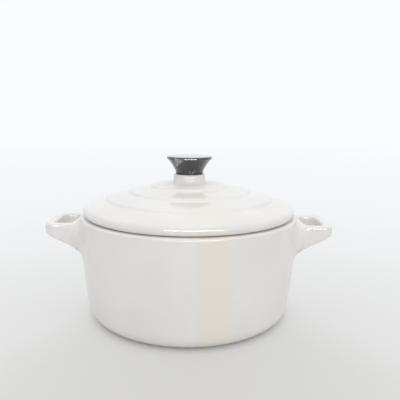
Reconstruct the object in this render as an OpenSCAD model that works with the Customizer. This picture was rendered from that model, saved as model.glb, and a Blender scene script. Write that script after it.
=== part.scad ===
// Small round covered baking dish: a barrel-shaped pot with two looped ears,
// a stepped lid and a flared knob that is screwed on through the lid.
// Millimetres, +Z up, origin at the middle of the foot, ears along X.

/* [Dish] */
// Outer radius of the dish at its rim
rim_radius = 51.2; // [45:0.1:60]
// Height of the rim above the table
rim_height = 48.8; // [42:0.1:60]
// Radius of the wall's barrel curve, upright at the rim
wall_curve = 335; // [250:5:600]
// Thickness of the wall
wall_thickness = 5; // [3.5:0.1:6]
// Thickness of the floor
floor_thickness = 5; // [4:0.1:8]
// Rounding between the wall and the foot
foot_rounding = 8.5; // [5:0.5:12]
// Rounding between the wall and the floor inside
floor_rounding = 8; // [4:0.5:12]
// Rounding of the rim's outer shoulder
rim_rounding = 0.7; // [0.5:0.1:2]
// Rounding of the mouth's inner edge
mouth_rounding = 0.6; // [0.3:0.1:1.2]
// Width of the unglazed ring that the dish stands on
foot_ring_width = 4.5; // [3:0.1:8]
// Depth of the hollow inside the foot ring
foot_hollow = 0.9; // [0.5:0.1:2]

/* [Ears] */
// Length of an ear beyond the rim
ear_length = 15.7; // [14:0.1:24]
// Width of an ear across its outside
ear_width = 27.4; // [24:0.2:34]
// Drop from the rim to the ear's top face
ear_drop = 3.5; // [3:0.1:6]
// Thickness of the ear at its tip
ear_tip_thickness = 4.6; // [4:0.1:8]
// Slope of the ear's underside, in degrees
ear_slope = 25; // [8:1:28]
// Width of the bar around the finger hole
ear_bar = 3.9; // [3.6:0.1:6]
// Width of the ledge between the wall and the finger hole
ear_ledge = 3.4; // [2.5:0.1:4.5]
// Rounding of the finger hole's outer corners
hole_outer_corner = 3.2; // [2:0.1:4]
// Rounding of the finger hole's corners beside the wall
hole_inner_corner = 2.2; // [1.5:0.1:4]
// Rounding of the ear's outer corners in plan
ear_corner = 5; // [4:0.1:8]
// Rounding of the ear's edges
ear_edge = 1; // [0.8:0.1:1.8]
// Blend from the ear's sides into the wall
side_blend = 8; // [4:0.5:12]
// Blend from the ear's underside into the wall
under_blend = 5; // [3:0.5:10]
// Blend from the ear's top up to the rim
rim_blend = 5; // [3:0.1:7]

/* [Lid] */
// Set-back of the lid's edge from the rim's outside
lid_setback = 1.2; // [0.6:0.1:1.8]
// Height of the lid's edge up to where its top starts
lid_edge = 4.3; // [4.2:0.1:7]
// Rounding of the edge's lower corner
lid_lower_rounding = 2.2; // [0.5:0.1:2.4]
// Rounding of the edge's upper corner
lid_upper_rounding = 1.9; // [1:0.1:2.6]
// Rise of the dome from the edge to its middle, without the steps
dome_rise = 7.7; // [4:0.1:12]
// Fullness of the dome: a higher value is flatter in the middle
dome_fullness = 3.8; // [2:0.1:4.5]
// Distance of the outer step from the lid's edge
outer_step = 8.4; // [6:0.1:11]
// Distance from the outer step to the middle one
middle_step = 9.2; // [6:0.1:11]
// Distance from the middle step to the inner one
inner_step = 11.2; // [6:0.1:13]
// Height of one step
step_height = 0.9; // [0.4:0.1:1.5]
// Width over which a step rises
step_width = 1.8; // [1:0.1:3]
// Thickness of the lid
lid_thickness = 4.6; // [3.5:0.1:6]
// Depth of the locating ring below the rim
ring_depth = 3.2; // [2:0.1:6]
// Thickness of the locating ring
ring_thickness = 2.8; // [2:0.1:4]
// Clearance between the locating ring and the mouth
ring_clearance = 0.6; // [0.3:0.1:1]

/* [Neck and knob] */
// Radius of the neck under the knob
neck_radius = 7.6; // [6.5:0.1:10]
// Height of the neck above the dome
neck_height = 4.1; // [2:0.1:6]
// Rounding of the neck's top edge
neck_rounding = 1; // [0.5:0.1:1.6]
// Blend from the neck into the dome
neck_blend = 1.6; // [0.5:0.1:3]
// Radius of the knob at its base
knob_base_radius = 6.6; // [5.5:0.1:7.5]
// Radius of the knob at its lip
knob_top_radius = 10.8; // [9:0.1:14]
// Height of the knob
knob_height = 7.7; // [7.2:0.1:14]
// Height of the knob's upright lip, with its roundings
knob_lip = 1.2; // [1:0.1:2]
// Reach of the lip beyond the flank
knob_lip_reach = 0.35; // [0.1:0.05:0.4]
// Flare of the knob's flank: a higher value opens later
knob_flare = 1.4; // [1:0.1:2.5]
// Rounding of the knob's top edge
knob_rounding = 0.5; // [0.2:0.1:0.6]
// Crown of the knob's top face
knob_crown = 0.4; // [0:0.1:1]
// Thickness of the seat washer under the knob
gasket_thickness = 0.8; // [0.5:0.1:1.5]
// Set-back of the seat washer from the knob's edge
gasket_inset = 0.2; // [0:0.1:0.8]

/* [Fastening] */
// Diameter of the screw
screw_diameter = 4; // [3:0.1:5]
// Clearance round the screw in the lid and washers
screw_clearance = 0.3; // [0.2:0.05:0.5]
// Running clearance between the screw and the insert
thread_clearance = 0.05; // [0.02:0.01:0.1]
// Diameter of the screw's head
screw_head_diameter = 7.5; // [6:0.1:9]
// Height of the screw's head
screw_head_height = 2.4; // [1.8:0.1:3.5]
// Width of the driver slot in the head
slot_width = 1.1; // [0.8:0.1:1.4]
// Depth of the driver slot
slot_depth = 1.1; // [0.6:0.1:1.4]
// Wall of the threaded insert in the knob
insert_wall = 1.3; // [0.8:0.1:2]
// Length of the threaded insert
insert_length = 5; // [4:0.1:6]
// Gap between the screw's end and the blind end of the insert's hole
screw_end_gap = 0.6; // [0.3:0.1:1]
// Clearance between the insert and its hole in the knob
insert_clearance = 0.05; // [0.02:0.01:0.1]
// Diameter of the steel washer under the lid
steel_washer_diameter = 11; // [9:0.1:14]
// Thickness of the steel washer
steel_washer_thickness = 0.8; // [0.5:0.1:1.5]
// Diameter of the sealing washer under the lid
seal_diameter = 13; // [10:0.1:16]
// Thickness of the sealing washer
seal_thickness = 1.2; // [0.8:0.1:2]
// Margin of the flat pad under the lid round the sealing washer
pad_margin = 1; // [0.5:0.1:3]

/* [Hidden] */

$fn = 128;
// Small overlap that keeps joined shapes from meeting on one face
lap = 0.5;
// Depth that an ear's blends run on into the wall, so that they cross its face at an angle
root_sink = 0.9;
// Room between the top of an ear's blend and the rim's rounding
ceiling_room = 0.1;
// Extra width of the finger hole's cutter just outside the ear's faces
cutter_margin = 0.2;
// Least angle, and largest share of half a section, for the rounded edges at an ear's tip
tip_least_angle = 6;
tip_edge_share = 0.8;
// Least width of the flat ring that the lid rests on
least_seat = 0.5;
// Steps along an outline's small arcs, the dish's wall and its large roundings, a finger hole's corner,
// the lid's top and underside, and the knob's flank
arc_steps = 6;
wall_steps = 12;
round_steps = 10;
corner_steps = 5;
top_steps = 60;
under_steps = 12;
flank_steps = 12;
glaze = "#f1f0ec";
charcoal = "#3f3f42";
brass = "#c9a24e";
steel = "#b6b9bd";
black_rubber = "#2a2a2b";
silicone = "#d8d4c8";

// Wall: two curves round one middle, each running into a rounding at the foot or the floor
wall_middle = [rim_radius - wall_curve, rim_height];
inner_curve = wall_curve - wall_thickness;
function wall_radius(z) = wall_middle.x + sqrt(pow(wall_curve, 2) - pow(rim_height - z, 2));
function corner_angle(curve, rounding, low) = asin((rim_height - low - rounding) / (curve - rounding));
foot_angle = corner_angle(wall_curve, foot_rounding, 0);
floor_angle = corner_angle(inner_curve, floor_rounding, floor_thickness);
rim_angle = asin(rim_rounding / wall_curve);
mouth_angle = asin(mouth_rounding / inner_curve);
foot_radius = wall_middle.x + (wall_curve - foot_rounding) * cos(foot_angle);
floor_radius = wall_middle.x + (inner_curve - floor_rounding) * cos(floor_angle);
mouth_radius = rim_radius - wall_thickness;

// Ear
ear_reach = rim_radius + ear_length;
ear_top = rim_height - ear_drop;
ear_ceiling = rim_height - rim_rounding - ceiling_room;
hole_far = ear_reach - ear_bar;
hole_near = rim_radius + ear_ledge;
hole_half = ear_width / 2 - ear_bar;

// Lid, from the seat upwards
lid_radius = rim_radius - lid_setback;
edge_under = min(lid_lower_rounding, lid_radius - mouth_radius - mouth_rounding - least_seat);
edge_over = min(lid_upper_rounding, lid_edge - edge_under);
outer_step_radius = lid_radius - outer_step;
middle_step_radius = outer_step_radius - middle_step;
inner_step_radius = middle_step_radius - inner_step;
step_radii = [outer_step_radius, middle_step_radius, inner_step_radius];
dome_start = rim_height + lid_edge;
dome_crown = dome_start + dome_rise;
neck_top = dome_top(0) + neck_height;
ring_radius = mouth_radius - ring_clearance;
pad_radius = seal_diameter / 2 + pad_margin;
lid_pad = dome(pad_radius) - lid_thickness;
lid_bore = screw_diameter / 2 + screw_clearance;

// Knob and fastening, stacked on the neck and hung under the lid
knob_seat = neck_top + gasket_thickness;
knob_top = knob_seat + knob_height;
insert_radius = screw_diameter / 2 + thread_clearance + insert_wall;
insert_hole_top = knob_seat + insert_length + screw_end_gap;
seal_low = lid_pad - seal_thickness;
washer_low = seal_low - steel_washer_thickness;

// Points along an arc, from one angle to the other
function arc(middle, radius, from, to, steps) =
    [for (i = [0:steps]) let (a = from + (to - from) * i / steps) middle + radius * [cos(a), sin(a)]];

// Smooth rise from 0 to 1
function ease(t) = let (k = max(0, min(1, t))) k * k * (3 - 2 * k);

// Dome without and with its steps
function dome(r) = dome_crown - dome_rise * pow(r / lid_radius, dome_fullness);
function dome_top(r) = dome(r) + step_height * steps_inside(r);
function steps_inside(r, i = 0) =
    i == len(step_radii) ? 0 : ease((step_radii[i] - r) / step_width + 0.5) + steps_inside(r, i + 1);

// Round blend that leaves a face at the blend's width from the wall and ends upright on the wall
function blend(size, gap) =
    let (g = max(0, min(size, gap))) size - sqrt(pow(size, 2) - pow(size - g, 2));

// Dish: its outline from the foot up the wall, over the rim and down the inside to the floor
function wall_run(curve, from, to) =
    [for (i = [1:wall_steps - 1]) let (a = from + (to - from) * i / wall_steps)
        wall_middle + curve * [cos(a), sin(a)]];
function dish_outline() =
    let (ring_inside = foot_radius - foot_ring_width)
    let (shoulder = wall_middle.x + wall_curve * cos(rim_angle) - rim_rounding)
    let (lip = wall_middle.x + inner_curve * cos(mouth_angle) + mouth_rounding)
    concat(
        [[0, foot_hollow], [ring_inside, foot_hollow], [ring_inside, 0]],
        arc([foot_radius, foot_rounding], foot_rounding, -90, -foot_angle, round_steps),
        wall_run(wall_curve, -foot_angle, -rim_angle),
        arc([shoulder, rim_height - rim_rounding], rim_rounding, 0, 90, arc_steps),
        arc([lip, rim_height - mouth_rounding], mouth_rounding, 90, 180, arc_steps),
        wall_run(inner_curve, -mouth_angle, -floor_angle),
        arc([floor_radius, floor_thickness + floor_rounding], floor_rounding, -floor_angle, -90, round_steps),
        [[0, floor_thickness]]);

// Ear: distance of a place in plan from the sunk wall, and heights of the top and underside there
root_radius = rim_radius - root_sink;
function root_gap(p) = norm(p) - root_radius;
function ear_high(p) = min(ear_ceiling, ear_top + blend(rim_blend, root_gap(p)));
function ear_low(p) =
    ear_top - ear_tip_thickness - (ear_reach - p.x) * tan(ear_slope) - blend(under_blend, root_gap(p));

// Ear: one edge-to-edge run of a section, as pairs of a sideways place and a depth below the face
turn = [0, 30, 60, 90];
function edge_run(half, edge_width, edge_depth) =
    let (left = [for (a = turn) [-half + edge_width * (1 - cos(a)), edge_depth * (1 - sin(a))]])
    let (right = [for (i = [len(left) - 1:-1:0]) [-left[i].x, left[i].y]])
    concat(left, [for (t = [-0.5, 0, 0.5]) [t * (half - edge_width), 0]], right);

// Ear: a section near the wall follows the wall round, and one near the tip is flat across the ear
function root_section(gap) =
    let (half = ear_width / 2 + blend(side_blend, gap), run = edge_run(half, ear_edge, ear_edge))
    let (place = function (y) [sqrt(pow(root_radius + gap, 2) - y * y), y])
    let (seat = function (y, z) [sqrt(pow(wall_radius(z) - root_sink + gap, 2) - y * y), y, z])
    concat(
        [for (c = run) seat(c.x, ear_high(place(c.x)) - c.y)],
        [for (i = [len(run) - 1:-1:0]) seat(run[i].x, ear_low(place(run[i].x)) + run[i].y)]);
function tip_section(angle) =
    let (x = ear_reach - ear_corner + ear_corner * cos(angle))
    let (half = ear_width / 2 - ear_corner + ear_corner * sin(angle))
    let (past = max(0, x - ear_reach + ear_edge), drop = ear_edge - sqrt(pow(ear_edge, 2) - past * past))
    let (width = min(ear_edge / sin(max(angle, tip_least_angle)), tip_edge_share * half))
    let (run = edge_run(half, width, ear_edge - drop))
    concat(
        [for (c = run) [x, c.x, ear_high([x, c.x]) - drop - c.y]],
        [for (i = [len(run) - 1:-1:0]) [x, run[i].x, ear_low([x, run[i].x]) + drop + run[i].y]]);

// Ear: the sections joined from inside the wall to the tip, before the finger hole is cut
module ear_blank() {
    inside = -wall_thickness / 2 + root_sink;
    gaps = concat([inside], [for (t = [0, 0.2, 0.35, 0.5, 0.65, 0.8, 1]) side_blend * t * t]);
    angles = [90, 75, 60, 45, 32, 20, 10, 0];
    sections = concat([for (g = gaps) root_section(g)], [for (a = angles) tip_section(a)]);
    row = len(sections[0]);
    last = (len(sections) - 1) * row;
    points = [for (s = sections) each s];
    sides = [for (i = [0:len(sections) - 2], j = [0:row - 1])
        let (a = i * row, b = a + row, m = (j + 1) % row)
        each [[a + j, a + m, b + m], [a + j, b + m, b + j]]];
    ends = [for (j = [0:row / 2 - 2])
        let (k = row - 1 - j, cap = [[j, k - 1, j + 1], [j, k, k - 1]])
        each concat(cap, [for (t = cap) [for (v = [t[0], t[2], t[1]]) last + v]])];
    polyhedron(points, concat(sides, ends));
}

// Finger hole: its outline in plan, made wider all round by a margin
function hole_outline(margin) =
    let (far = hole_outer_corner, near = hole_inner_corner)
    let (far_middle = [hole_far - far, hole_half - far], near_middle = [hole_near + near, hole_half - near])
    concat(
        arc(far_middle, far + margin, 0, 90, corner_steps),
        arc(near_middle, near + margin, 90, 180, corner_steps),
        arc([near_middle.x, -near_middle.y], near + margin, 180, 270, corner_steps),
        arc([far_middle.x, -far_middle.y], far + margin, 270, 360, corner_steps));

// Finger hole: a cutter that widens at the ear's top and underside to round the hole's edges
module finger_hole() {
    levels = concat(
        [[-lap, ear_edge + cutter_margin]],
        [for (a = [30, 60, 90]) ear_edge * [1 - cos(a), 1 - sin(a)]]);
    above = [for (v = levels) [for (p = hole_outline(v.y)) [p.x, p.y, ear_high(p) - v.x]]];
    below = [for (i = [len(levels) - 1:-1:0])
        [for (p = hole_outline(levels[i].y)) [p.x, p.y, ear_low(p) + levels[i].x]]];
    rings = concat(above, below);
    row = len(rings[0]);
    last = (len(rings) - 1) * row;
    middle = (hole_near + hole_far) / 2;
    caps = [[middle, 0, ear_ceiling], [middle, 0, ear_low([middle, 0]) - ear_edge]];
    points = concat([for (r = rings) each r], caps);
    sides = [for (i = [0:len(rings) - 2], j = [0:row - 1])
        let (a = i * row, b = a + row, m = (j + 1) % row)
        each [[a + j, a + m, b + m], [a + j, b + m, b + j]]];
    ends = [for (j = [0:row - 1])
        let (m = (j + 1) % row)
        each [[last + row, m, j], [last + row + 1, last + j, last + m]]];
    polyhedron(points, concat(sides, ends));
}

module ear() {
    difference() {
        ear_blank();
        finger_hole();
    }
}

module dish() {
    color(glaze) {
        rotate_extrude()
            polygon(dish_outline());
        ear();
        mirror([1, 0, 0])
            ear();
    }
}

// Lid: the top from the edge to the neck, then the underside back to the seat
function lid_outline() =
    let (lean = atan(dome_rise * dome_fullness / lid_radius))
    let (low = [lid_radius - edge_under, rim_height + edge_under])
    let (high = [lid_radius - edge_over, dome_start - edge_over])
    let (shoulder = high + edge_over * [sin(lean), cos(lean)])
    let (neck_foot = neck_radius + neck_blend, ring_inside = ring_radius - ring_thickness)
    concat(
        arc(low, edge_under, -90, 0, arc_steps),
        arc(high, edge_over, 0, 90 - lean, arc_steps),
        [for (i = [1:top_steps]) let (r = shoulder.x + (neck_foot - shoulder.x) * i / top_steps)
            [r, dome_top(r)]],
        arc([neck_foot, dome_top(neck_foot) + neck_blend], neck_blend, 270, 180, arc_steps),
        arc([neck_radius - neck_rounding, neck_top - neck_rounding], neck_rounding, 0, 90, arc_steps),
        [[lid_bore, neck_top], [lid_bore, lid_pad]],
        [for (i = [0:under_steps]) let (r = pad_radius + (ring_inside - pad_radius) * i / under_steps)
            [r, dome(r) - lid_thickness]],
        arc([ring_radius - ring_thickness / 2, rim_height - ring_depth + ring_thickness / 2],
            ring_thickness / 2, 180, 360, 2 * arc_steps),
        [[ring_radius, rim_height]]);

module lid() {
    color(glaze)
        rotate_extrude()
            polygon(lid_outline());
}

// Knob: a flank that flares to a short upright lip under a slightly crowned top
function knob_outline() =
    let (lip_low = knob_top - knob_crown - knob_lip, rise = lip_low - knob_seat)
    let (corner = [knob_top_radius - knob_rounding, knob_top - knob_crown - knob_rounding])
    let (hole = insert_radius + insert_clearance, inside = knob_top_radius - knob_lip_reach)
    concat(
        [for (i = [0:flank_steps - 1]) let (t = i / flank_steps)
            [knob_base_radius + (inside - knob_base_radius) * pow(t, knob_flare), knob_seat + rise * t]],
        arc([inside, lip_low + knob_lip_reach], knob_lip_reach, -90, 0, arc_steps),
        arc(corner, knob_rounding, 0, 90, arc_steps),
        [[0, knob_top], [0, insert_hole_top], [hole, insert_hole_top], [hole, knob_seat]]);

module knob() {
    color(charcoal)
        rotate_extrude()
            polygon(knob_outline());
}

module tube(outer, inner, low, high) {
    translate([0, 0, low])
        difference() {
            cylinder(h = high - low, r = outer);
            translate([0, 0, -lap])
                cylinder(h = high - low + 2 * lap, r = inner);
        }
}

module knob_insert() {
    color(brass)
        tube(insert_radius, screw_diameter / 2 + thread_clearance, knob_seat, knob_seat + insert_length);
}

module knob_gasket() {
    color(black_rubber)
        tube(knob_base_radius - gasket_inset, lid_bore, neck_top, knob_seat);
}

module sealing_washer() {
    color(silicone)
        tube(seal_diameter / 2, lid_bore, seal_low, lid_pad);
}

module steel_washer() {
    color(steel)
        tube(steel_washer_diameter / 2, lid_bore, washer_low, seal_low);
}

module knob_screw() {
    head_low = washer_low - screw_head_height;
    color(steel) {
        difference() {
            translate([0, 0, head_low])
                cylinder(h = screw_head_height, d = screw_head_diameter);
            translate([-screw_head_diameter, -slot_width / 2, head_low - lap])
                cube([2 * screw_head_diameter, slot_width, slot_depth + lap]);
        }
        translate([0, 0, washer_low - lap])
            cylinder(h = insert_hole_top - screw_end_gap - washer_low + lap, d = screw_diameter);
    }
}

dish();
lid();
knob();
knob_insert();
knob_gasket();
knob_screw();
steel_washer();
sealing_washer();
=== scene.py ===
"""Looks of a small covered baking dish: white glazed stoneware, a stepped lid and a worn charcoal knob.

Metres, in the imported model's frame: the origin is under the foot, +Z is up and the ears lie along X.
"""
import math

import bmesh
import bpy
import numpy as np
from mathutils import Matrix, Vector
from mathutils.bvhtree import BVHTree
from mathutils.kdtree import KDTree


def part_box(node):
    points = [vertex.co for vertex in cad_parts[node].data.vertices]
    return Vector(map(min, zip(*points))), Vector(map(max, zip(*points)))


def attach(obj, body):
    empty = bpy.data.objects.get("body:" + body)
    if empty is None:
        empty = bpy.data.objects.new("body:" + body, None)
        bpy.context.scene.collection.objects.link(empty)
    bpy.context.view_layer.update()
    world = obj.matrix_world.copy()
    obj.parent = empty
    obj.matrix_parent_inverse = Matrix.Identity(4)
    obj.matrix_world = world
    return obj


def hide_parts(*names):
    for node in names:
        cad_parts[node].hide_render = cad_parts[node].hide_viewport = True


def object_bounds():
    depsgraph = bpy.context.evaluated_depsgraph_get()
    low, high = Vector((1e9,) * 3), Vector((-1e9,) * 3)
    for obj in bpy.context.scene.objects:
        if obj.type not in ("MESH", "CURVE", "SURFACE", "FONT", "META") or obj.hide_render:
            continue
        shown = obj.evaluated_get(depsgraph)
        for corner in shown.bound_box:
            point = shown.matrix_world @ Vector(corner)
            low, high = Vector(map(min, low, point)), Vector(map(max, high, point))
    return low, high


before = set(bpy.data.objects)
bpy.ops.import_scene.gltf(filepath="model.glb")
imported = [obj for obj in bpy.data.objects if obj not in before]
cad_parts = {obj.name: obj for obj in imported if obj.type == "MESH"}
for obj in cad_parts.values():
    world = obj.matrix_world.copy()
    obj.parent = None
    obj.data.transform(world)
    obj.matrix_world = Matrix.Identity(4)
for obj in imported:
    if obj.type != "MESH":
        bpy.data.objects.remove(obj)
cad_low, cad_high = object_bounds()

MM = 0.001
MERGE = 0.002 * MM
# Steps of a full turn, of the dish's finer guide form, and along outlines
TURNS = 180
WALL_TURNS = 360
WALL_STEPS = 24
ARC_STEPS = 8
TOP_STEPS = 110
UNDER_STEPS = 24
FLANK_STEPS = 24
CROWN_STEPS = 8
# Angles in degrees: edges that shade sharp, edges that get a bevel, and faces that make one flat
SHARP_ANGLE = 40
BEVEL_ANGLE = 50
FLAT_ANGLE = 1
BEVEL_SEGMENTS = 2

# Dish
RIM_RADIUS = 51.2 * MM
RIM_HEIGHT = 48.8 * MM
WALL_CURVE = 335 * MM
WALL = 5 * MM
FLOOR = 5 * MM
FOOT_ROUNDING = 8.5 * MM
FLOOR_ROUNDING = 8 * MM
RIM_ROUNDING = 1.0 * MM
MOUTH_ROUNDING = 0.6 * MM
FOOT_RING = 4.5 * MM
FOOT_HOLLOW = 0.9 * MM
MOUTH_RADIUS = RIM_RADIUS - WALL

# Skin of the dish, with its ears softened into the wall
SKIN = 1.05 * MM
OFF_WALL = 0.12 * MM
# Zones with smaller faces: height of those at rim and foot, where they lie, and the ears' X, radius and Z
EDGE_ZONE = 1.2 * MM
FOOT_ZONE = 34 * MM
RIM_ZONE = 1.6 * MM
EAR_ZONE = (40.5 * MM, 49.0 * MM, 26.0 * MM)
# Factors of one smoothing round that draws a form in, and of one that keeps its bulk
DRAW_IN = (0.9,)
KEEP_BULK = (0.5, -0.52)
EAR_SMOOTHING = 14
CREASE_SMOOTHING = 28
CREASE_RINGS = 8
CREASE_HEIGHT = 2.4 * MM
# Hollow beside an ear's root: its reach on the wall and on the ear, and where it sets in and ends
HOLLOW_ON_WALL = 9.5 * MM
HOLLOW_ON_EAR = 6 * MM
HOLLOW_START = 1 * MM
HOLLOW_SIDE = (9.5 * MM, 13 * MM)
HOLLOW_TOP = (45.8 * MM, 48.2 * MM)
HOLLOW_FACING = (0.25, 0.6)
HOLLOW_ROUNDS = ((0.75, 60), (0.5, 90), (0.25, 130), (0.08, 30))
# Sweep from an ear's top up to the rim: its heights, its reach on the ear and its half width
SWEEP_HEIGHTS = (42.5 * MM, 48.4 * MM)
SWEEP_REACH = 3.3 * MM
SWEEP_SIDE = 15 * MM
SWEEP_ROUNDS = 90
# Shading: where an ear's root ends, rounds of evening out, and gaps to the wall that share its shading
ROOT_END = (50.5 * MM, 54.5 * MM)
NORMAL_ROUNDS = 60
TRUE_GAP = 0.01 * MM
FADED_GAP = 0.05 * MM

# Lid
LID_RADIUS = 50 * MM
LID_EDGE = 4.3 * MM
LOWER_ROUNDING = 2.2 * MM
UPPER_ROUNDING = 2.55 * MM
DOME_RISE = 7.4 * MM
DOME_FULLNESS = 2.1
STEP_RADII = (39.2 * MM, 28.6 * MM, 18.3 * MM)
STEP_HEIGHT = 1.0 * MM
STEP_WIDTH = 1.6 * MM
UNDER_CROWN = 56.2 * MM
UNDER_RISE = 7.7 * MM
UNDER_FULLNESS = 3.8
SEAT_RADIUS = 46.8 * MM
SEAT_GAP = 0.2 * MM
RING_CLEARANCE = 0.6 * MM
RING_RADIUS = MOUTH_RADIUS - RING_CLEARANCE
RING_THICKNESS = 2.8 * MM
RING_DEPTH = 3.2 * MM
DOME_START = RIM_HEIGHT + LID_EDGE
DOME_CROWN = DOME_START + DOME_RISE
PAD_RADIUS = 7.5 * MM
BORE = 2.3 * MM

# Neck and knob
NECK_RADIUS = 7.6 * MM
NECK_ROUNDING = 1.0 * MM
NECK_BLEND = 1.6 * MM
KNOB_BASE = 6.6 * MM
KNOB_RADIUS = 10.8 * MM
KNOB_LIP = 1.5 * MM
LIP_REACH = 0.5 * MM
LIP_LEAN = 4.3  # degrees
KNOB_FLARE = 1.4
KNOB_ROUNDING = 0.7 * MM
KNOB_CROWN = 0.1 * MM
INSERT_HOLE = 3.4 * MM
INSERT_HOLE_DEPTH = 5.6 * MM
NECK_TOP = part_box("lid")[1].z
KNOB_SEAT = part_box("knob")[0].z
KNOB_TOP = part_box("knob")[1].z

# Softened edges
LID_SOFT = 0.3 * MM
KNOB_SOFT = 0.25 * MM
SCREW_SOFT = 0.15 * MM
WASHER_SOFT = 0.12 * MM


# Outlines, as (radius, height) points

def arc(middle, radius, start, stop, steps=ARC_STEPS):
    """Points along an arc, from one angle in degrees to the other."""
    angles = [math.radians(start + (stop - start) * i / steps) for i in range(steps + 1)]
    return [(middle[0] + radius * math.cos(a), middle[1] + radius * math.sin(a)) for a in angles]


def ease(t):
    """Smooth rise from 0 to 1."""
    k = max(0, min(1, t))
    return k * k * (3 - 2 * k)


def dish_outline():
    """From the foot up the barrel wall, over the rim and down the inside to the floor."""
    steps = WALL_STEPS
    middle = RIM_RADIUS - WALL_CURVE
    inner_curve = WALL_CURVE - WALL
    foot_depth = RIM_HEIGHT - FOOT_ROUNDING
    floor_depth = RIM_HEIGHT - FLOOR - FLOOR_ROUNDING
    foot_angle = math.degrees(math.asin(foot_depth / (WALL_CURVE - FOOT_ROUNDING)))
    floor_angle = math.degrees(math.asin(floor_depth / (inner_curve - FLOOR_ROUNDING)))
    rim_angle = math.degrees(math.asin(RIM_ROUNDING / WALL_CURVE))
    mouth_angle = math.degrees(math.asin(MOUTH_ROUNDING / inner_curve))
    foot_radius = middle + (WALL_CURVE - FOOT_ROUNDING) * math.cos(math.radians(foot_angle))
    floor_radius = middle + (inner_curve - FLOOR_ROUNDING) * math.cos(math.radians(floor_angle))
    shoulder = middle + WALL_CURVE * math.cos(math.radians(rim_angle)) - RIM_ROUNDING
    lip = middle + inner_curve * math.cos(math.radians(mouth_angle)) + MOUTH_ROUNDING
    ring_inside = foot_radius - FOOT_RING
    return (
        [(0, FOOT_HOLLOW), (ring_inside, FOOT_HOLLOW), (ring_inside, 0)]
        + arc((foot_radius, FOOT_ROUNDING), FOOT_ROUNDING, -90, -foot_angle, 2 * steps)
        + arc((middle, RIM_HEIGHT), WALL_CURVE, -foot_angle, -rim_angle, 3 * steps)[1:-1]
        + arc((shoulder, RIM_HEIGHT - RIM_ROUNDING), RIM_ROUNDING, 0, 90, steps)
        + arc((lip, RIM_HEIGHT - MOUTH_ROUNDING), MOUTH_ROUNDING, 90, 180, steps)
        + arc((middle, RIM_HEIGHT), inner_curve, -mouth_angle, -floor_angle, 3 * steps)[1:-1]
        + arc((floor_radius, FLOOR + FLOOR_ROUNDING), FLOOR_ROUNDING, -floor_angle, -90, 2 * steps)
        + [(0, FLOOR)]
    )


def dome(r):
    """Height of the lid's top without its steps."""
    return DOME_CROWN - DOME_RISE * (r / LID_RADIUS) ** DOME_FULLNESS


def dome_under(r):
    """Height of the lid's underside."""
    return UNDER_CROWN - UNDER_RISE * (r / LID_RADIUS) ** UNDER_FULLNESS


def dome_top(r):
    """Height of the lid's top with its three steps."""
    return dome(r) + STEP_HEIGHT * sum(ease((step - r) / STEP_WIDTH + 0.5) for step in STEP_RADII)


def lid_outline():
    """The edge, the stepped top and the neck, then the bore, the underside and the locating ring."""
    lean = math.atan(DOME_RISE * DOME_FULLNESS / LID_RADIUS)
    sunk = UPPER_ROUNDING * (1 / math.cos(lean) - math.tan(lean))
    high = (LID_RADIUS - UPPER_ROUNDING, DOME_START - sunk)
    low = (LID_RADIUS - LOWER_ROUNDING, RIM_HEIGHT + SEAT_GAP + LOWER_ROUNDING)
    edge = arc(low, LOWER_ROUNDING, -90, 0)
    edge += arc(high, UPPER_ROUNDING, 0, 90 - math.degrees(lean))
    start = edge[-1][0]
    neck_foot = NECK_RADIUS + NECK_BLEND
    radii = [start + (neck_foot - start) * i / TOP_STEPS for i in range(1, TOP_STEPS + 1)]
    ring_middle = (RING_RADIUS - RING_THICKNESS / 2, RIM_HEIGHT - RING_DEPTH + RING_THICKNESS / 2)
    ring_inside = RING_RADIUS - RING_THICKNESS
    under = [PAD_RADIUS + (ring_inside - PAD_RADIUS) * i / UNDER_STEPS for i in range(UNDER_STEPS + 1)]
    seat = [(SEAT_RADIUS, RIM_HEIGHT), (SEAT_RADIUS + SEAT_GAP, RIM_HEIGHT + SEAT_GAP)]
    return (
        edge
        + [(r, dome_top(r)) for r in radii]
        + arc((neck_foot, dome_top(neck_foot) + NECK_BLEND), NECK_BLEND, 270, 180)
        + arc((NECK_RADIUS - NECK_ROUNDING, NECK_TOP - NECK_ROUNDING), NECK_ROUNDING, 0, 90)
        + [(BORE, NECK_TOP), (BORE, dome_under(PAD_RADIUS))]
        + [(r, dome_under(r)) for r in under]
        + arc(ring_middle, RING_THICKNESS / 2, 180, 360, 2 * ARC_STEPS)
        + [(RING_RADIUS, RIM_HEIGHT)]
        + seat
    )


def knob_outline():
    """The flaring flank, the short lip and the crowned top, then the hole for the insert."""
    lip_low = KNOB_TOP - KNOB_CROWN - KNOB_LIP
    inside = KNOB_RADIUS - LIP_REACH
    hole_top = KNOB_SEAT + INSERT_HOLE_DEPTH
    flank = []
    for i in range(FLANK_STEPS):
        t = i / FLANK_STEPS
        out = KNOB_BASE + (inside - KNOB_BASE) * t ** KNOB_FLARE
        flank.append((out, KNOB_SEAT + (lip_low - KNOB_SEAT) * t))
    set_in = (KNOB_LIP - LIP_REACH - KNOB_ROUNDING) * math.tan(math.radians(LIP_LEAN))
    corner = (KNOB_RADIUS - set_in - KNOB_ROUNDING, KNOB_TOP - KNOB_CROWN - KNOB_ROUNDING)
    crown = [corner[0] * (1 - i / CROWN_STEPS) for i in range(1, CROWN_STEPS + 1)]
    return (
        flank
        + arc((inside, lip_low + LIP_REACH), LIP_REACH, -90, LIP_LEAN)
        + arc(corner, KNOB_ROUNDING, LIP_LEAN, 90)
        + [(r, KNOB_TOP - KNOB_CROWN * r / corner[0]) for r in crown]
        + [(0, hole_top), (INSERT_HOLE, hole_top), (INSERT_HOLE, KNOB_SEAT)]
    )


def tube_outline(node, bore):
    """A washer's section, as wide and as high as its solid."""
    low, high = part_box(node)
    return [(bore, low.z), (high.x, low.z), (high.x, high.z), (bore, high.z)]


# Shapes

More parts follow.
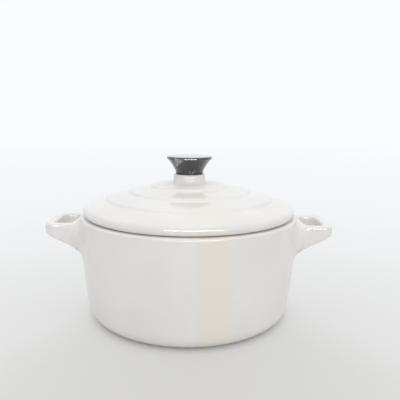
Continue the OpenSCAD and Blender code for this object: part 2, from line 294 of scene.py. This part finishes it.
def turned(outline, closed=False, steps=TURNS):
    """The outline turned once round the axis, as a closed skin that faces outwards."""
    shape = bmesh.new()
    points = [shape.verts.new((r, 0, z)) for r, z in outline]
    lines = [shape.edges.new(pair) for pair in zip(points, points[1:])]
    if closed:
        lines.append(shape.edges.new((points[-1], points[0])))
    bmesh.ops.spin(
        shape, geom=points + lines, cent=(0, 0, 0), axis=(0, 0, 1), dvec=(0, 0, 0),
        angle=math.tau, steps=steps, use_merge=True,
    )
    bmesh.ops.remove_doubles(shape, verts=shape.verts, dist=MERGE)
    bmesh.ops.recalc_face_normals(shape, faces=shape.faces)
    return shape


def soften(shape, size):
    """Rounds every edge that turns by more than the bevel angle."""
    least = math.radians(BEVEL_ANGLE)
    sharp = [e for e in shape.edges if e.is_manifold and e.calc_face_angle() > least]
    bmesh.ops.bevel(
        shape, geom=sharp, offset=size, offset_type="OFFSET", affect="EDGES",
        segments=BEVEL_SEGMENTS, profile=0.5, material=-1, clamp_overlap=True,
    )
    return shape


def copied(node):
    """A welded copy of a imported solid, with its flat faces whole."""
    shape = bmesh.new()
    shape.from_mesh(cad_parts[node].data)
    bmesh.ops.remove_doubles(shape, verts=shape.verts, dist=MERGE)
    flat = math.radians(FLAT_ANGLE)
    bmesh.ops.dissolve_limit(shape, angle_limit=flat, verts=shape.verts, edges=shape.edges)
    return shape


def even_skin(shape, size):
    """The same form with an even skin of small faces."""
    mesh = bpy.data.meshes.new("blank")
    shape.to_mesh(mesh)
    shape.free()
    blank = bpy.data.objects.new("blank", mesh)
    bpy.context.scene.collection.objects.link(blank)
    remesh = blank.modifiers.new("even", "REMESH")
    remesh.mode = "VOXEL"
    remesh.voxel_size = size
    skin = bmesh.new()
    skin.from_object(blank, bpy.context.evaluated_depsgraph_get())
    bpy.data.objects.remove(blank)
    bpy.data.meshes.remove(mesh)
    return skin


def neighbours(points, rings):
    """The points and those within so many edges of them."""
    reached = set(points)
    border = reached
    for _ in range(rings):
        border = {e.other_vert(p) for p in border for e in p.link_edges} - reached
        reached |= border
    return reached


def smooth(shape, points, rounds, shrink):
    """Evens out the points; with shrink off, each round swells the form back by what it drew in."""
    factors = DRAW_IN if shrink else KEEP_BULK
    for _ in range(rounds):
        for factor in factors:
            bmesh.ops.smooth_vert(
                shape, verts=points, factor=factor, use_axis_x=True, use_axis_y=True, use_axis_z=True,
            )


def proud(place, wall):
    """How far a place stands out from the turned wall, and the nearest spot on the wall."""
    spot, normal, _, _ = wall.find_nearest(place)
    return (place - spot).dot(normal), spot


def halve(shape, chosen):
    """Halves the faces between the points that are chosen by their place."""
    edges = [e for e in shape.edges if all(chosen(p.co) for p in e.verts)]
    bmesh.ops.subdivide_edges(shape, edges=edges, cuts=1, use_grid_fill=True)


def settle(shape, wall, solid):
    """Sets every point on the turned wall or on the solid's ears, and gives the ears' points."""
    ears = []
    for point in shape.verts:
        out, spot = proud(point.co, wall)
        if out > OFF_WALL and point.co.xy.length > MOUTH_RADIUS:
            point.co = solid.find_nearest(point.co)[0]
            ears.append(point)
        else:
            point.co = spot
    return ears


def near_ear(place):
    across, out, up = EAR_ZONE
    return abs(place.x) > across and place.xy.length > out and place.z > up


def near_edge(place):
    at_foot = place.z < EDGE_ZONE and place.xy.length > FOOT_ZONE
    return place.z > RIM_HEIGHT - EDGE_ZONE or at_foot


def near_rim(place):
    return place.z > RIM_HEIGHT - EDGE_ZONE and place.xy.length > RIM_RADIUS - RIM_ZONE


def beside_ear(place, facing):
    """1 on the upright faces beside an ear, and 0 on its top, its underside and its hole."""
    beside = ease((abs(place.y) - HOLLOW_SIDE[0]) / (HOLLOW_SIDE[1] - HOLLOW_SIDE[0]))
    below = ease((HOLLOW_TOP[1] - place.z) / (HOLLOW_TOP[1] - HOLLOW_TOP[0]))
    upright = ease((HOLLOW_FACING[1] - abs(facing.z)) / (HOLLOW_FACING[1] - HOLLOW_FACING[0]))
    return beside * below * upright


def hollow_share(place, facing, out, crease):
    """From 1 at the crease between an ear's side and the wall to 0 where its soft hollow ends."""
    if out > HOLLOW_START:
        share = 1 - (out - HOLLOW_START) / HOLLOW_ON_EAR
    else:
        share = 1 - crease.find(place)[2] / HOLLOW_ON_WALL
    return share * beside_ear(place, facing)


def fill_hollows(shape, wall):
    """Lets the clay flow together beside the ears' roots, most of all at the crease."""
    shape.normal_update()
    heights = {p: proud(p.co, wall)[0] for p in shape.verts if near_ear(p.co)}
    raised = [p.co for p, out in heights.items() if out > HOLLOW_START]
    crease = KDTree(len(raised))
    for number, place in enumerate(raised):
        crease.insert(place, number)
    crease.balance()
    shares = {p: hollow_share(p.co, p.normal, out, crease) for p, out in heights.items()}
    for least, rounds in HOLLOW_ROUNDS:
        smooth(shape, [p for p, share in shares.items() if share > least], rounds, True)
    foot, top = SWEEP_HEIGHTS
    low_points = [p for p, out in heights.items() if out < SWEEP_REACH]
    sweep = [p for p in low_points if foot < p.co.z < top and abs(p.co.y) < SWEEP_SIDE]
    smooth(shape, sweep, SWEEP_ROUNDS, True)


def dish_shape(wall):
    """The dish's solid with a true barrel wall and with its ears smoothed into it as fired clay is."""
    blank = bmesh.new()
    blank.from_mesh(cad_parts["dish"].data)
    bmesh.ops.remove_doubles(blank, verts=blank.verts, dist=MERGE)
    solid = BVHTree.FromBMesh(blank)
    shape = even_skin(blank, SKIN)
    settle(shape, wall, solid)
    halve(shape, lambda place: near_ear(place) or near_edge(place))
    settle(shape, wall, solid)
    halve(shape, near_rim)
    ears = settle(shape, wall, solid)
    reached = [p for p in neighbours(ears, CREASE_RINGS) if p.co.z < RIM_HEIGHT - EDGE_ZONE]
    crease = [p for p in reached if proud(p.co, wall)[0] < CREASE_HEIGHT]
    smooth(shape, ears, EAR_SMOOTHING, False)
    smooth(shape, crease, CREASE_SMOOTHING, True)
    fill_hollows(shape, wall)
    for point in shape.verts:
        out, spot = proud(point.co, wall)
        if out < 0:
            point.co = spot
        for axis in range(3):
            point.co[axis] = max(cad_low[axis], min(cad_high[axis], point.co[axis]))
    bmesh.ops.recalc_face_normals(shape, faces=shape.faces)
    return shape


def root_share(place, facing):
    """1 beside an ear's root, where its side flows into the wall, and 0 further out."""
    return beside_ear(place, facing) * ease((ROOT_END[1] - abs(place.x)) / (ROOT_END[1] - ROOT_END[0]))


def even_normals(mesh, normals, shares):
    """Lets each normal lean, by its point's share, towards those of its neighbours, round after round."""
    pairs = np.empty(2 * len(mesh.edges), int)
    mesh.edges.foreach_get("vertices", pairs)
    first, second = pairs.reshape(-1, 2).T
    used = np.maximum(shares[first], shares[second]) > 0
    ends = np.concatenate((first[used], second[used]))
    others = np.concatenate((second[used], first[used]))
    moved = np.unique(ends)
    for _ in range(NORMAL_ROUNDS):
        sums = [np.bincount(ends, normals[others, axis], len(normals)) for axis in range(3)]
        mean = np.stack([total[moved] for total in sums], 1)
        mean /= np.linalg.norm(mean, axis=1, keepdims=True)
        normals[moved] += shares[moved, None] * (mean - normals[moved])
        normals[moved] /= np.linalg.norm(normals[moved], axis=1, keepdims=True)
    return normals


def true_normals(obj, wall):
    """Gives the dish's wall the shading of its turned form, and leaves the ears their own."""
    normals = []
    for point in obj.data.vertices:
        _, turned_normal, _, gap = wall.find_nearest(point.co)
        share = ease((FADED_GAP - gap) / (FADED_GAP - TRUE_GAP))
        normals.append(point.normal.lerp(turned_normal, share).normalized())
    shares = [root_share(p.co, p.normal) if near_ear(p.co) else 0 for p in obj.data.vertices]
    evened = even_normals(obj.data, np.array(normals), np.array(shares))
    obj.data.normals_split_custom_set_from_vertices(evened)


def piece(name, shape, body, node, material):
    """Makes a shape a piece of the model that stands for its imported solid."""
    mesh = bpy.data.meshes.new(name)
    shape.to_mesh(mesh)
    shape.free()
    mesh.shade_smooth()
    mesh.set_sharp_from_angle(angle=math.radians(SHARP_ANGLE))
    mesh.materials.append(material)
    obj = bpy.data.objects.new(name, mesh)
    bpy.context.scene.collection.objects.link(obj)
    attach(obj, body)
    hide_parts(node)
    return obj


# Materials

NOISE_MIDDLE = (0.5, 0.5, 0.5)
FRONT_FADE = 1 * MM


class Finish:
    """A material and short ways to add the nodes of its pattern."""

    def __init__(self, name, **constants):
        self.material = bpy.data.materials.new(name)
        self.material.use_nodes = True
        self.tree = self.material.node_tree
        self.shader = self.tree.nodes["Principled BSDF"]
        for socket, value in constants.items():
            self.shader.inputs[socket.replace("_", " ")].default_value = value
        self.place = self.add("ShaderNodeTexCoord").outputs["Object"]

    def add(self, kind, inputs=(), **settings):
        node = self.tree.nodes.new(kind)
        for name, value in settings.items():
            setattr(node, name, value)
        for socket, value in dict(inputs).items():
            self.put(value, node.inputs[socket])
        return node

    def put(self, value, socket):
        """Sets a socket, or joins another node's output to it."""
        if isinstance(value, bpy.types.NodeSocket):
            self.tree.links.new(value, socket)
        else:
            socket.default_value = value

    def surface(self, socket, value):
        self.put(value, self.shader.inputs[socket])

    def math(self, operation, first, second=0.0, third=0.0, clamp=False):
        inputs = {0: first, 1: second, 2: third}
        return self.add("ShaderNodeMath", inputs, operation=operation, use_clamp=clamp).outputs[0]

    def vector(self, operation, inputs):
        return self.add("ShaderNodeVectorMath", inputs, operation=operation)

    def noise(self, scale, detail=2.0, roughness=0.5):
        inputs = {"Vector": self.place, "Scale": scale, "Detail": detail, "Roughness": roughness}
        return self.add("ShaderNodeTexNoise", inputs).outputs["Fac"]

    def between(self, value, low, high, to_low=0.0, to_high=1.0):
        """A smooth change from one number to another as the value goes from low to high."""
        inputs = {"Value": value, "From Min": low, "From Max": high, "To Min": to_low, "To Max": to_high}
        return self.add("ShaderNodeMapRange", inputs, interpolation_type="SMOOTHSTEP").outputs["Result"]

    def mix(self, share, first, second):
        """One colour shading into another."""
        inputs = {0: share, 6: first, 7: second}
        return self.add("ShaderNodeMix", inputs, data_type="RGBA").outputs[2]

    def parts(self, place=None):
        """The three coordinates of a place, each on its own."""
        return self.add("ShaderNodeSeparateXYZ", {"Vector": place or self.place}).outputs

    def radius(self):
        """Distance from the axis of the dish."""
        x, y, _ = self.parts()
        return self.math("SQRT", self.math("ADD", self.math("MULTIPLY", x, x), self.math("MULTIPLY", y, y)))

    def shaken(self, amount, scale):
        """Places pushed about a little, so that a drawn line gets a ragged edge."""
        inputs = {"Vector": self.place, "Scale": scale, "Detail": 3.0}
        push = self.add("ShaderNodeTexNoise", inputs).outputs["Color"]
        push = self.vector("SUBTRACT", {0: push, 1: NOISE_MIDDLE}).outputs[0]
        push = self.vector("SCALE", {0: push, "Scale": amount}).outputs[0]
        return self.vector("ADD", {0: self.place, 1: push}).outputs[0]

    def front_shape(self, corners, soft, place):
        """1 inside a shape with its corners, as (x, z) counter-clockwise, drawn on the front."""
        inside = None
        for (x0, z0), (x1, z1) in zip(corners, corners[1:] + corners[:1]):
            length = math.hypot(x1 - x0, z1 - z0)
            across = (-(z1 - z0) / length, 0.0, (x1 - x0) / length)
            along = self.vector("DOT_PRODUCT", {0: place, 1: across}).outputs["Value"]
            start = across[0] * x0 + across[2] * z0
            side = self.between(along, start - soft, start + soft)
            inside = side if inside is None else self.math("MULTIPLY", inside, side)
        front = self.between(self.parts(place)[1], -FRONT_FADE, 0.0, 1.0, 0.0)
        return self.math("MULTIPLY", inside, front)

    def bump(self, *layers):
        """Relief from (height, depth in metres) layers, the coarsest first."""
        normal = None
        for height, depth in layers:
            inputs = {"Height": height, "Distance": depth, "Strength": 1.0}
            if normal is not None:
                inputs["Normal"] = normal
            normal = self.add("ShaderNodeBump", inputs).outputs["Normal"]
        self.surface("Normal", normal)


# Glaze: its two whites, its grey in creases (pooled glaze and painted crease shade), where it runs thin on
# edges, and its specks
WHITES = ((0.795, 0.785, 0.772, 1), (0.830, 0.822, 0.812, 1))
POOLED_AND_SHADED = (0.72, 0.72, 0.71, 1)
THIN = (0.78, 0.755, 0.71, 1)
SPECK = (0.42, 0.37, 0.31, 1)
SPECK_LEAST = 0.86
GLOSS = (0.08, 0.13)
FINE_WAVE = 0.006 * MM
# Bare clay: its two tones, its raggedness, the softness of its borders, its added roughness and its grit
CLAYS = ((0.52, 0.46, 0.385, 1), (0.68, 0.62, 0.535, 1))
BARE_RAGGED = 0.5 * MM
BARE_TOP = 0.2 * MM
BARE_BORDER = 0.3 * MM
BARE_DULL = 0.72
GRIT_DEPTH = 0.05 * MM
# Painted reflection of a warm thing in front of the dish, drawn as a cream band down the front: where it
# sets in and ends along X, its ragged edge, and its colour
REFLECTION_RAGGED = 2.5 * MM
REFLECTION_LEFT = (3.2 * MM, 5.4 * MM)
REFLECTION_RIGHT = (17 * MM, 21 * MM)
REFLECTION_CREAM = (0.822, 0.79, 0.722, 1)
# The painted reflection's strength on the dish and on the lid, how far aside it lies, and where it ends
# towards the back
DISH_REFLECTION = (1.0, 0.0, (-40 * MM, -36 * MM))
LID_REFLECTION = (0.45, -3.6 * MM, (-14 * MM, -6 * MM))


def glaze(name, bare_height, bare_inner, bare_outer, wave, painted_reflection):
    """White glaze with a painted reflection as a cream band down the front, cloudy tone, a few specks,
    creases greyed by pooled glaze and painted shade, and a bare clay ring.
    """
    skin = Finish(name, IOR=1.5)
    cloud = skin.between(skin.noise(38, 3.0, 0.55), 0.3, 0.7)
    white = skin.mix(cloud, *WHITES)
    strength, aside, back = painted_reflection
    # Painted reflection: a cream band down the front stands in for a warm thing reflected in the glaze
    x, y, _ = skin.parts(skin.shaken(REFLECTION_RAGGED, 90))
    x = skin.math("SUBTRACT", x, aside)
    reflection_band = skin.math("MULTIPLY", skin.between(x, *REFLECTION_LEFT), skin.between(x, *REFLECTION_RIGHT, 1.0, 0.0))
    reflection_band = skin.math("MULTIPLY", reflection_band, skin.between(y, *back, 1.0, 0.0))
    white = skin.mix(skin.math("MULTIPLY", reflection_band, strength), white, REFLECTION_CREAM)
    # Creases greyed by pointiness: partly pooled glaze, partly painted shade where the creases fall in
    # shadow
    crease = skin.add("ShaderNodeNewGeometry").outputs["Pointiness"]
    pooled_and_shaded = skin.between(crease, 0.40, 0.48, 0.25, 0.0)
    white = skin.mix(pooled_and_shaded, white, POOLED_AND_SHADED)
    thin = skin.math("MULTIPLY", skin.between(crease, 0.53, 0.62, 0.0, 0.35), skin.noise(160, 2.0))
    white = skin.mix(thin, white, THIN)
    cells = skin.add("ShaderNodeTexVoronoi", {"Vector": skin.place, "Scale": 150.0}).outputs
    chosen = skin.math("GREATER_THAN", skin.parts(cells["Color"])[0], SPECK_LEAST)
    speck = skin.math("MULTIPLY", skin.between(cells["Distance"], 0.018, 0.034, 0.4, 0.0), chosen)
    white = skin.mix(speck, white, SPECK)
    ragged = skin.math("MULTIPLY_ADD", skin.noise(220, 3.0), BARE_RAGGED, skin.parts()[2])
    bare = skin.between(ragged, bare_height, bare_height + BARE_TOP, 1.0, 0.0)
    radius = skin.radius()
    bare = skin.math("MULTIPLY", bare, skin.between(radius, bare_inner - BARE_BORDER, bare_inner))
    outside = skin.between(radius, bare_outer, bare_outer + BARE_BORDER, 1.0, 0.0)
    bare = skin.math("MULTIPLY", bare, outside)
    grit = skin.noise(1800, 4.0, 0.7)
    clay = skin.mix(skin.between(grit, 0.35, 0.7), *CLAYS)
    skin.surface("Base Color", skin.mix(bare, white, clay))
    gloss = skin.between(skin.noise(55, 3.0), 0.3, 0.7, *GLOSS)
    dull = skin.math("MULTIPLY", bare, BARE_DULL)
    skin.surface("Roughness", skin.math("ADD", gloss, dull, clamp=True))
    skin.bump(
        (skin.noise(60, 2.0), wave),
        (skin.noise(420, 2.0), FINE_WAVE),
        (skin.math("MULTIPLY", grit, bare), GRIT_DEPTH),
    )
    return skin.material


# Knob: its two dark tones, its scraped tone, and the corners of its worn marks as (x, z) in millimetres
DARKS = ((0.021, 0.021, 0.023, 1), (0.036, 0.035, 0.037, 1))
SCRAPED = (0.50, 0.49, 0.48, 1)
CHIP = ((-6.7, 76.0), (-5.9, 71.4), (-2.4, 74.7))
STROKE = ((1.0, 68.4), (1.4, 68.3), (3.2, 69.6), (2.9, 69.8))
SHORT_STROKE = ((0.5, 68.6), (0.8, 68.7), (0.2, 69.5), (-0.1, 69.4))
CHIP_EDGE = 0.25 * MM
STROKE_EDGE = 0.1 * MM
MARK_RAGGED = 0.7 * MM
FAINT = 0.5
# Knocks on the lip: heights under the top and distances from the edge between which they set in
KNOCK_HEIGHTS = (1.8 * MM, 0.7 * MM)
KNOCK_DEPTHS = (1.2 * MM, 0.5 * MM)
CHARCOAL_GLOSS = (0.12, 0.22)
CHARCOAL_WAVE = 0.03 * MM
WORN_DEPTH = 0.08 * MM
CHARCOAL_GRAIN = 0.004 * MM


def in_metres(corners):
    return [(x * MM, z * MM) for x, z in corners]


def charcoal():
    """Glossy charcoal, chipped and scratched where hands and other pans have knocked it."""
    skin = Finish("charcoal_knob", IOR=1.5, Coat_Weight=1.0, Coat_Roughness=0.09, Coat_IOR=1.5)
    mottle = skin.between(skin.noise(240, 4.0, 0.6), 0.3, 0.7)
    dark = skin.mix(mottle, *DARKS)
    ragged = skin.shaken(MARK_RAGGED, 700)
    chip = skin.front_shape(in_metres(CHIP), CHIP_EDGE, ragged)
    stroke = skin.front_shape(in_metres(STROKE), STROKE_EDGE, ragged)
    short_stroke = skin.front_shape(in_metres(SHORT_STROKE), STROKE_EDGE, ragged)
    lip = skin.between(skin.parts()[2], *(KNOB_TOP - under for under in KNOCK_HEIGHTS))
    edge = skin.between(skin.radius(), *(KNOB_RADIUS - depth for depth in KNOCK_DEPTHS))
    knocks = skin.math("MULTIPLY", skin.between(skin.noise(330, 5.0, 0.65), 0.60, 0.68), lip)
    knocks = skin.math("MULTIPLY", knocks, edge)
    scraped = skin.between(skin.noise(1700, 4.0, 0.7), 0.40, 0.60, 0.15, 1.0)
    worn = skin.math("MULTIPLY", chip, scraped)
    for mark in (stroke, short_stroke, knocks):
        worn = skin.math("MAXIMUM", worn, skin.math("MULTIPLY", mark, FAINT))
    skin.surface("Base Color", skin.mix(worn, dark, SCRAPED))
    gloss = skin.between(skin.noise(130, 3.0), 0.3, 0.7, *CHARCOAL_GLOSS)
    skin.surface("Roughness", skin.math("MULTIPLY_ADD", worn, 0.4, gloss, clamp=True))
    skin.surface("Coat Weight", skin.math("SUBTRACT", 1.0, worn, clamp=True))
    sound = skin.math("SUBTRACT", 1.0, worn)
    skin.bump(
        (skin.noise(160, 2.0), CHARCOAL_WAVE),
        (sound, WORN_DEPTH),
        (skin.noise(2400, 3.0), CHARCOAL_GRAIN),
    )
    return skin.material


LATHE_DEPTH = 0.008 * MM
LATHE_SPREAD = 0.07
RUBBER_GRAIN = 0.012 * MM
RUBBER_SPREAD = 0.08


def turned_metal(name, colour, dull, roughness):
    """Metal with fine rings left by the lathe and a slightly dulled face."""
    skin = Finish(name, Metallic=1.0)
    rings = skin.add("ShaderNodeTexNoise", {"Scale": 5200.0, "Detail": 2.0}, noise_dimensions="1D")
    skin.put(skin.radius(), rings.inputs["W"])
    tarnish = skin.between(skin.noise(340, 4.0, 0.6), 0.45, 0.75)
    skin.surface("Base Color", skin.mix(tarnish, colour, dull))
    lines = rings.outputs["Fac"]
    worn = skin.between(lines, 0.3, 0.7, roughness - LATHE_SPREAD, roughness + LATHE_SPREAD)
    skin.surface("Roughness", skin.math("MULTIPLY_ADD", tarnish, 0.15, worn))
    skin.bump((lines, LATHE_DEPTH))
    return skin.material


def rubber(name, colour, pale, roughness):
    """Moulded rubber with a fine grain and a little dust in it."""
    skin = Finish(name, Specular_IOR_Level=0.35)
    dust = skin.between(skin.noise(420, 5.0, 0.65), 0.45, 0.75)
    skin.surface("Base Color", skin.mix(dust, colour, pale))
    grain = skin.noise(3000, 3.0, 0.6)
    spread = (roughness - RUBBER_SPREAD, roughness + RUBBER_SPREAD)
    skin.surface("Roughness", skin.between(grain, 0.3, 0.7, *spread))
    skin.bump((grain, RUBBER_GRAIN))
    return skin.material


# Pieces

wall_form = turned(dish_outline(), steps=WALL_TURNS)
wall = BVHTree.FromBMesh(wall_form)
wall_form.free()

dish_glaze = glaze(
    "dish_glaze", bare_height=0.35 * MM, bare_inner=35.2 * MM, bare_outer=44.0 * MM,
    wave=0.10 * MM, painted_reflection=DISH_REFLECTION,
)
lid_glaze = glaze(
    "lid_glaze", bare_height=RIM_HEIGHT - 0.2 * MM, bare_inner=42.0 * MM, bare_outer=46.6 * MM,
    wave=0.2 * MM, painted_reflection=LID_REFLECTION,
)
steel = turned_metal(
    "turned_steel", colour=(0.62, 0.625, 0.64, 1), dull=(0.50, 0.50, 0.505, 1), roughness=0.3)
brass = turned_metal(
    "turned_brass", colour=(0.72, 0.53, 0.24, 1), dull=(0.56, 0.40, 0.19, 1), roughness=0.32)
black_rubber = rubber(
    "black_rubber", colour=(0.022, 0.022, 0.023, 1), pale=(0.05, 0.05, 0.05, 1), roughness=0.62)
silicone = rubber(
    "milky_silicone", colour=(0.70, 0.68, 0.63, 1), pale=(0.76, 0.745, 0.70, 1), roughness=0.5)

dish = piece("baking_dish", dish_shape(wall), "dish", "dish", dish_glaze)
true_normals(dish, wall)
lid_shape = soften(turned(lid_outline(), closed=True), LID_SOFT)
piece("stepped_lid", lid_shape, "lid", "lid", lid_glaze)
knob_shape = soften(turned(knob_outline()), KNOB_SOFT)
piece("flared_knob", knob_shape, "lid", "knob", charcoal())
for name, node, slot, material in (
    ("seat_gasket", "knob_gasket", "black_rubber", black_rubber),
    ("seal_under_lid", "sealing_washer", "silicone", silicone),
    ("washer_under_lid", "steel_washer", "steel", steel),
):
    ring_shape = soften(turned(tube_outline(node, BORE), closed=True), WASHER_SOFT)
    piece(name, ring_shape, "lid", node, material)
screw_shape = soften(copied("knob_screw"), SCREW_SOFT)
piece("slotted_screw", screw_shape, "lid", "knob_screw", steel)
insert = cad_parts["knob_insert"]
insert.data.materials.clear()
insert.data.materials.append(brass)


# Floor, light and camera

BACKGROUND = (0.956, 0.973, 0.991, 1)
PAINTED_SHADE_TONE = (0.645, 0.640, 0.628, 1)
FLOOR_PAPER = ((0.74, 0.735, 0.725, 1), (0.77, 0.765, 0.755, 1))
FLOOR_HALF = 8
FLOOR_REACH = 1.4
# Distance from the axis, and how far the glowing painted tone hides the real shadow there
SHADOW_FADE = (
    (0.0, 0.0), (0.043, 0.0), (0.0445, 0.1), (0.0465, 0.54), (0.05, 0.74), (0.056, 0.81), (0.2, 0.83),
    (0.4, 0.92), (1.4, 1.0),
)
# Distance from a spot in front of the dish, where the painted tone is darkest as painted shadow, and how far
# the tone goes over into the background there
PAINTED_SHADE_FADE = (
    (0.0, 0.0), (0.06, 0.15), (0.09, 0.42), (0.15, 0.58), (0.22, 0.78), (0.32, 0.88), (0.9, 0.96),
    (1.4, 1.0),
)
PAINTED_SHADE_SPOT = (0.005, -0.08, 0.0)

ROOM = (1.0, 0.995, 0.985, 1)
ROOM_STRENGTH = 0.62
# Soft panels: name, place, width, height and radiance
SOFT_PANELS = (
    ("overhead", (0.0, 0.15, 1.2), 1.2, 1.0, 1.4),
    ("front", (0.35, -2.2, 1.2), 4.5, 1.2, 1.25),
)
LIGHT_TARGET = (0, 0, 0.05)
# Windows that only gloss shows: degrees to the right of the front, degrees up, distance and radiance
WINDOWS = ((-23, -10), (-4, 5), (8.5, 20), (23, 37))
WINDOW_RISE = (0.5, 15.0)
WINDOW_DISTANCE = 2.5
WINDOW_RADIANCE = 16.0

# Camera: its place before it is turned about the axis, its angles in degrees, and its lens in millimetres
CAMERA_PLACE = (0, -0.22777, 0.09582)
CAMERA_ABOUT = 1.6
CAMERA_PAN = -1.3
CAMERA_TILT = 90 - 10.214
CAMERA_ROLL = 0.57
CAMERA_SENSOR = 36
CAMERA_LENS = 43.2
CAMERA_NEAREST = 0.005


def seen_directly(tree):
    """1 for rays that show the floor or the sky itself: the camera's, and those of gloss and clear parts."""
    path = tree.nodes.new("ShaderNodeLightPath").outputs
    total = path["Is Camera Ray"]
    for kind in ("Is Glossy Ray", "Is Transmission Ray"):
        either = tree.nodes.new("ShaderNodeMath")
        either.operation = "MAXIMUM"
        tree.links.new(total, either.inputs[0])
        tree.links.new(path[kind], either.inputs[1])
        total = either.outputs[0]
    return total


def faded(paper, distance, fade):
    """A share that changes with a distance, by the fade's (distance, share) stops."""
    ramp = paper.add("ShaderNodeValToRGB", {"Fac": paper.math("DIVIDE", distance, FLOOR_REACH)})
    stops = ramp.color_ramp.elements
    while len(stops) < len(fade):
        stops.new(0.5)
    for stop, (place, share) in zip(stops, fade):
        stop.position = place / FLOOR_REACH
        stop.color = (share, share, share, 1)
    return ramp.outputs["Color"]


def floor():
    """A pale floor that keeps the real shadow only near the foot; elsewhere a glowing painted tone, darkest
    as painted shadow in front of the dish, fades into the background.
    """
    shape = bmesh.new()
    bmesh.ops.create_grid(shape, x_segments=2, y_segments=2, size=FLOOR_HALF)
    mesh = bpy.data.meshes.new("floor")
    shape.to_mesh(mesh)
    shape.free()
    ground = bpy.data.objects.new("floor", mesh)
    bpy.context.scene.collection.objects.link(ground)
    paper = Finish("floor_paper", Roughness=0.9, Specular_IOR_Level=0.0)
    paper.surface("Base Color", paper.mix(paper.noise(30, 3.0), *FLOOR_PAPER))
    clear = faded(paper, paper.radius(), SHADOW_FADE)
    share = paper.math("MULTIPLY", clear, seen_directly(paper.tree))
    # Painted shadow: the glowing tone is darkest at a spot in front of the dish and pales into the
    # background
    from_spot = paper.vector("DISTANCE", {0: paper.place, 1: PAINTED_SHADE_SPOT}).outputs["Value"]
    painted_tone = paper.mix(faded(paper, from_spot, PAINTED_SHADE_FADE), PAINTED_SHADE_TONE, BACKGROUND)
    painted_glow = paper.add("ShaderNodeEmission", {"Color": painted_tone, "Strength": 1.0})
    blend = paper.add("ShaderNodeMixShader", {0: share, 1: paper.shader.outputs[0], 2: painted_glow.outputs[0]})
    paper.put(blend.outputs[0], paper.tree.nodes["Material Output"].inputs["Surface"])
    mesh.materials.append(paper.material)


def sky():
    """Even light from all round, in front of a pale background."""
    world = bpy.data.worlds.new("soft_room")
    world.use_nodes = True
    bpy.context.scene.world = world
    tree = world.node_tree
    room = tree.nodes["Background"]
    room.inputs["Color"].default_value = ROOM
    room.inputs["Strength"].default_value = ROOM_STRENGTH
    backdrop = tree.nodes.new("ShaderNodeBackground")
    backdrop.inputs["Color"].default_value = BACKGROUND
    backdrop.inputs["Strength"].default_value = 1.0
    blend = tree.nodes.new("ShaderNodeMixShader")
    tree.links.new(seen_directly(tree), blend.inputs[0])
    tree.links.new(room.outputs[0], blend.inputs[1])
    tree.links.new(backdrop.outputs[0], blend.inputs[2])
    tree.links.new(blend.outputs[0], tree.nodes["World Output"].inputs["Surface"])


def panel(name, place, target, width, height, radiance, mirrored):
    """A rectangular light that faces the target: soft light, or a bright pane that only gloss shows."""
    lamp = bpy.data.lights.new(name, "AREA")
    lamp.shape = "RECTANGLE"
    lamp.size = width
    lamp.size_y = height
    lamp.energy = radiance * math.pi * width * height
    obj = bpy.data.objects.new(name, lamp)
    bpy.context.scene.collection.objects.link(obj)
    obj.location = place
    obj.rotation_euler = (Vector(target) - Vector(place)).to_track_quat("-Z", "Y").to_euler()
    obj.visible_camera = False
    obj.visible_glossy = mirrored
    obj.visible_diffuse = not mirrored


def lights():
    """Two soft panels, and a row of windows in front that face the dish's axis."""
    for name, place, width, height, radiance in SOFT_PANELS:
        panel(name, place, LIGHT_TARGET, width, height, radiance, False)
    reach = WINDOW_DISTANCE
    bottom, top = (LIGHT_TARGET[2] + reach * math.tan(math.radians(a)) for a in WINDOW_RISE)
    for number, (left, right) in enumerate(WINDOWS):
        turn = math.radians((left + right) / 2)
        width = 2 * reach * math.tan(math.radians((right - left) / 2))
        place = (reach * math.sin(turn), -reach * math.cos(turn), (bottom + top) / 2)
        panel(f"window_{number}", place, (0, 0, place[2]), width, top - bottom, WINDOW_RADIANCE, True)


def camera():
    """Straight in front, a little above, at arm's length."""
    lens = bpy.data.cameras.new("camera")
    lens.sensor_width = CAMERA_SENSOR
    lens.lens = CAMERA_LENS
    lens.clip_start = CAMERA_NEAREST
    view = bpy.data.objects.new("camera", lens)
    bpy.context.scene.collection.objects.link(view)
    angles = (CAMERA_ABOUT, CAMERA_PAN, CAMERA_TILT, CAMERA_ROLL)
    about, pan, tilt, roll = (math.radians(a) for a in angles)
    turn = Matrix.Rotation(pan, 4, "Z") @ Matrix.Rotation(tilt, 4, "X") @ Matrix.Rotation(roll, 4, "Z")
    view.matrix_world = Matrix.Rotation(about, 4, "Z") @ Matrix.Translation(CAMERA_PLACE) @ turn
    bpy.context.scene.camera = view


floor()
sky()
lights()
camera()
bpy.context.scene.view_settings.view_transform = "Standard"
